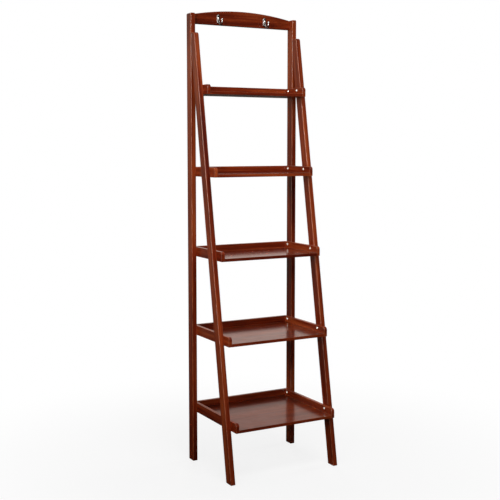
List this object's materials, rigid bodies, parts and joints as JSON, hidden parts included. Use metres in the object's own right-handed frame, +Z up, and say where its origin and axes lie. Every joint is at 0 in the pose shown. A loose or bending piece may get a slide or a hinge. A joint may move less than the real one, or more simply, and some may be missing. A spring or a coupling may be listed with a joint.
{
  "type": "ladder shelf",
  "caption": "Free-standing A-frame ladder shelf in stained wood: trays that deepen towards the floor, an arched top rail and metal robe hooks.",
  "frame": {"origin": "centre of the whole part's footprint, on the floor", "axes": "+Z up, +X to the right as seen from the front, the trays' open fronts face -Y"},
  "size_m": [0.485, 0.374, 1.82],
  "materials": {
    "frame_wood": "red-brown cherry stain, clear gloss lacquer",
    "board_wood": "red-brown cherry stain, high-gloss lacquer",
    "rail_wood": "red-brown cherry stain, clear gloss lacquer",
    "dowel_beech": "raw beech",
    "bolt_nickel": "bright nickel plate",
    "hook_nickel": "bright nickel plate",
    "screw_nickel": "nickel plate, darker in the recess",
    "insert_zinc": "zinc plate",
    "screw_zinc": "zinc plate"
  },
  "bodies": {
    "root": {"rear_post_left": "frame_wood", "rear_post_right": "frame_wood", "front_leg_left": "frame_wood", "front_leg_right": "frame_wood", "top_rail": "frame_wood", "tray_1_board": "board_wood", "tray_2_board": "board_wood", "tray_3_board": "board_wood", "tray_4_board": "board_wood", "tray_5_board": "board_wood", "tray_1_left_rail": "rail_wood", "tray_2_left_rail": "rail_wood", "tray_3_left_rail": "rail_wood", "tray_4_left_rail": "rail_wood", "tray_5_left_rail": "rail_wood", "tray_1_right_rail": "rail_wood", "tray_2_right_rail": "rail_wood", "tray_3_right_rail": "rail_wood", "tray_4_right_rail": "rail_wood", "tray_5_right_rail": "rail_wood", "tray_1_back_rail": "rail_wood", "tray_2_back_rail": "rail_wood", "tray_3_back_rail": "rail_wood", "tray_4_back_rail": "rail_wood", "tray_5_back_rail": "rail_wood", "tray_1_bolts": "bolt_nickel", "tray_2_bolts": "bolt_nickel", "tray_3_bolts": "bolt_nickel", "tray_4_bolts": "bolt_nickel", "tray_5_bolts": "bolt_nickel", "tray_1_inserts": "insert_zinc", "tray_2_inserts": "insert_zinc", "tray_3_inserts": "insert_zinc", "tray_4_inserts": "insert_zinc", "tray_5_inserts": "insert_zinc", "tray_1_dowels": "dowel_beech", "tray_2_dowels": "dowel_beech", "tray_3_dowels": "dowel_beech", "tray_4_dowels": "dowel_beech", "tray_5_dowels": "dowel_beech", "top_rail_dowels": "dowel_beech", "leg_top_screws": "screw_zinc", "hook_left": "hook_nickel", "hook_right": "hook_nickel", "hook_screws": "screw_nickel"}
  },
  "joints": []
}
